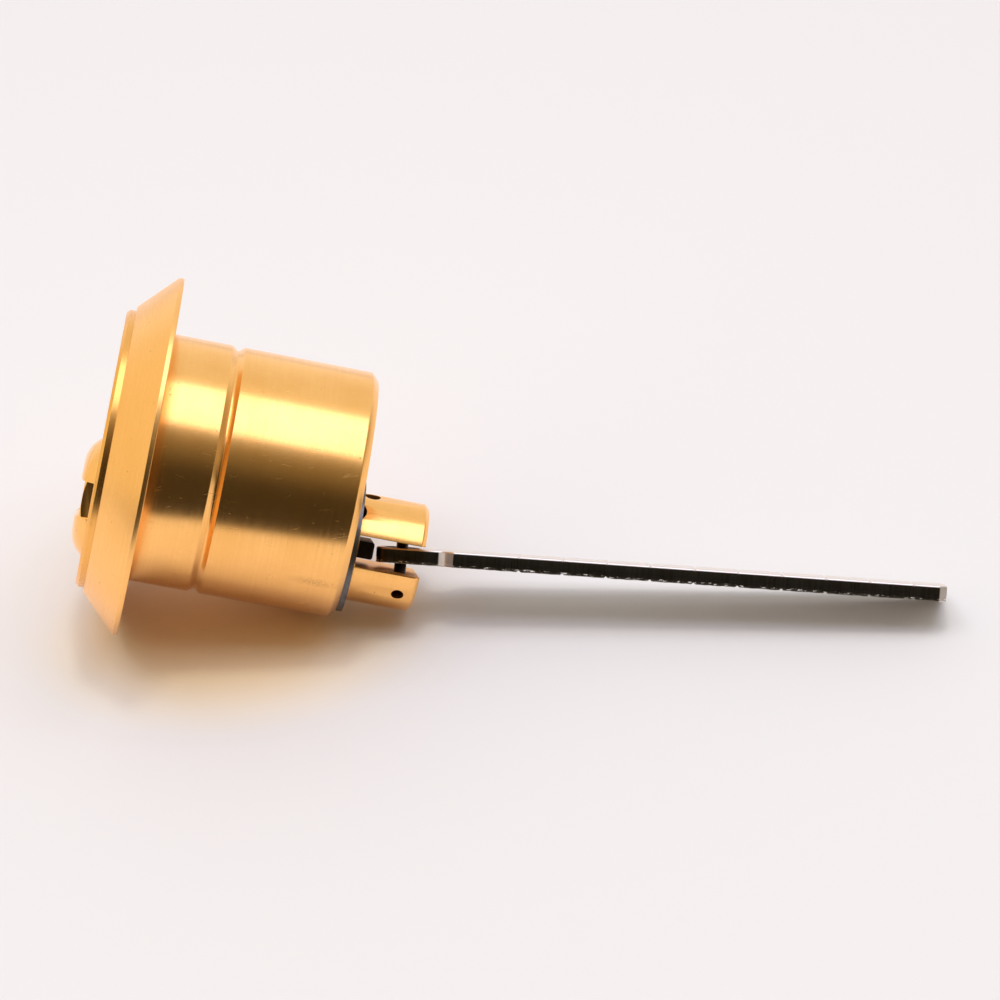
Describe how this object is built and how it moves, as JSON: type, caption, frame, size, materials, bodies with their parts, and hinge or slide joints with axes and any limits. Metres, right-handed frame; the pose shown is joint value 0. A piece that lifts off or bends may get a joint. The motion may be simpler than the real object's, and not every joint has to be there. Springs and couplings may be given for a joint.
{
  "type": "rim cylinder",
  "caption": "Brass rim cylinder for a dimple key, with a loose conical collar, an off-centre turning plug and a scored flat tail bar on a cross pin.",
  "frame": {"origin": "on the barrel's axis, in the plane of the collar's back, which meets the door", "axes": "+Y along the barrel from the face to the tail, +X towards the plug's side, +Z along the keyway's height"},
  "size_m": [0.0434, 0.1042, 0.0434],
  "materials": {
    "barrel_brass": "turned and polished",
    "collar_brass": "fine brushed",
    "plug_brass": "polished",
    "pin_brass": "turned",
    "pin_steel": "bright",
    "ring_steel": "oiled dark spring steel",
    "stop_steel": "blackened",
    "bar_plate": "plated and stamped, rough along the sheared edge"
  },
  "bodies": {
    "housing": {"housing": "barrel_brass", "chamber_plug_1": "barrel_brass", "chamber_plug_2": "barrel_brass", "chamber_plug_3": "barrel_brass", "chamber_plug_4": "barrel_brass", "chamber_plug_5": "barrel_brass", "pin_spring_1": "pin_steel", "pin_spring_2": "pin_steel", "pin_spring_3": "pin_steel", "pin_spring_4": "pin_steel", "pin_spring_5": "pin_steel"},
    "collar": {"collar": "collar_brass"},
    "plug": {"plug": "plug_brass", "retaining_ring": "ring_steel", "key_stop": "stop_steel"},
    "tail_pin": {"tail_pin": "stop_steel"},
    "tail_bar": {"tail_bar": "bar_plate"},
    "key_pin_1": {"key_pin_1": "pin_brass"},
    "driver_pin_1": {"driver_pin_1": "pin_steel"},
    "key_pin_2": {"key_pin_2": "pin_brass"},
    "driver_pin_2": {"driver_pin_2": "pin_steel"},
    "key_pin_3": {"key_pin_3": "pin_brass"},
    "driver_pin_3": {"driver_pin_3": "pin_steel"},
    "key_pin_4": {"key_pin_4": "pin_brass"},
    "driver_pin_4": {"driver_pin_4": "pin_steel"},
    "key_pin_5": {"key_pin_5": "pin_brass"},
    "driver_pin_5": {"driver_pin_5": "pin_steel"}
  },
  "joints": [
    {"name": "plug_turn", "type": "hinge", "parent": "housing", "child": "plug", "pos_m": [0.006, 0, 0], "axis": [0, 1, 0], "continuous": true},
    {"name": "collar_slide", "type": "slide", "parent": "housing", "child": "collar", "axis": [0, 1, 0], "range_m": [0, 0.024]},
    {"name": "tail_pin_turn", "type": "hinge", "parent": "plug", "child": "tail_pin", "pos_m": [0.006, 0.03185, 0], "axis": [0.6691, 0, 0.7431], "range_deg": [-23.4, 0]},
    {"name": "tail_rock", "type": "hinge", "parent": "tail_pin", "child": "tail_bar", "pos_m": [0.006, 0.03185, 0], "axis": [-0.7277, -0.2028, 0.6552], "range_deg": [-2.2, 5.8]},
    {"name": "key_pin_1_drop", "type": "slide", "parent": "plug", "child": "key_pin_1", "axis": [1, 0, 0], "range_m": [0, 0.0011]},
    {"name": "driver_pin_1_lift", "type": "slide", "parent": "housing", "child": "driver_pin_1", "axis": [-1, 0, 0], "range_m": [0, 0.0015], "stiffness_N_per_m": 120, "springref_m": -0.004, "deforming": ["pin_spring_1"]},
    {"name": "key_pin_2_drop", "type": "slide", "parent": "plug", "child": "key_pin_2", "axis": [1, 0, 0], "range_m": [0, 0.0011]},
    {"name": "driver_pin_2_lift", "type": "slide", "parent": "housing", "child": "driver_pin_2", "axis": [-1, 0, 0], "range_m": [0, 0.0015], "stiffness_N_per_m": 120, "springref_m": -0.004, "deforming": ["pin_spring_2"]},
    {"name": "key_pin_3_drop", "type": "slide", "parent": "plug", "child": "key_pin_3", "axis": [1, 0, 0], "range_m": [0, 0.0011]},
    {"name": "driver_pin_3_lift", "type": "slide", "parent": "housing", "child": "driver_pin_3", "axis": [-1, 0, 0], "range_m": [0, 0.0015], "stiffness_N_per_m": 120, "springref_m": -0.004, "deforming": ["pin_spring_3"]},
    {"name": "key_pin_4_drop", "type": "slide", "parent": "plug", "child": "key_pin_4", "axis": [1, 0, 0], "range_m": [0, 0.0011]},
    {"name": "driver_pin_4_lift", "type": "slide", "parent": "housing", "child": "driver_pin_4", "axis": [-1, 0, 0], "range_m": [0, 0.0015], "stiffness_N_per_m": 120, "springref_m": -0.004, "deforming": ["pin_spring_4"]},
    {"name": "key_pin_5_drop", "type": "slide", "parent": "plug", "child": "key_pin_5", "axis": [1, 0, 0], "range_m": [0, 0.0011]},
    {"name": "driver_pin_5_lift", "type": "slide", "parent": "housing", "child": "driver_pin_5", "axis": [-1, 0, 0], "range_m": [0, 0.0015], "stiffness_N_per_m": 120, "springref_m": -0.004, "deforming": ["pin_spring_5"]}
  ]
}
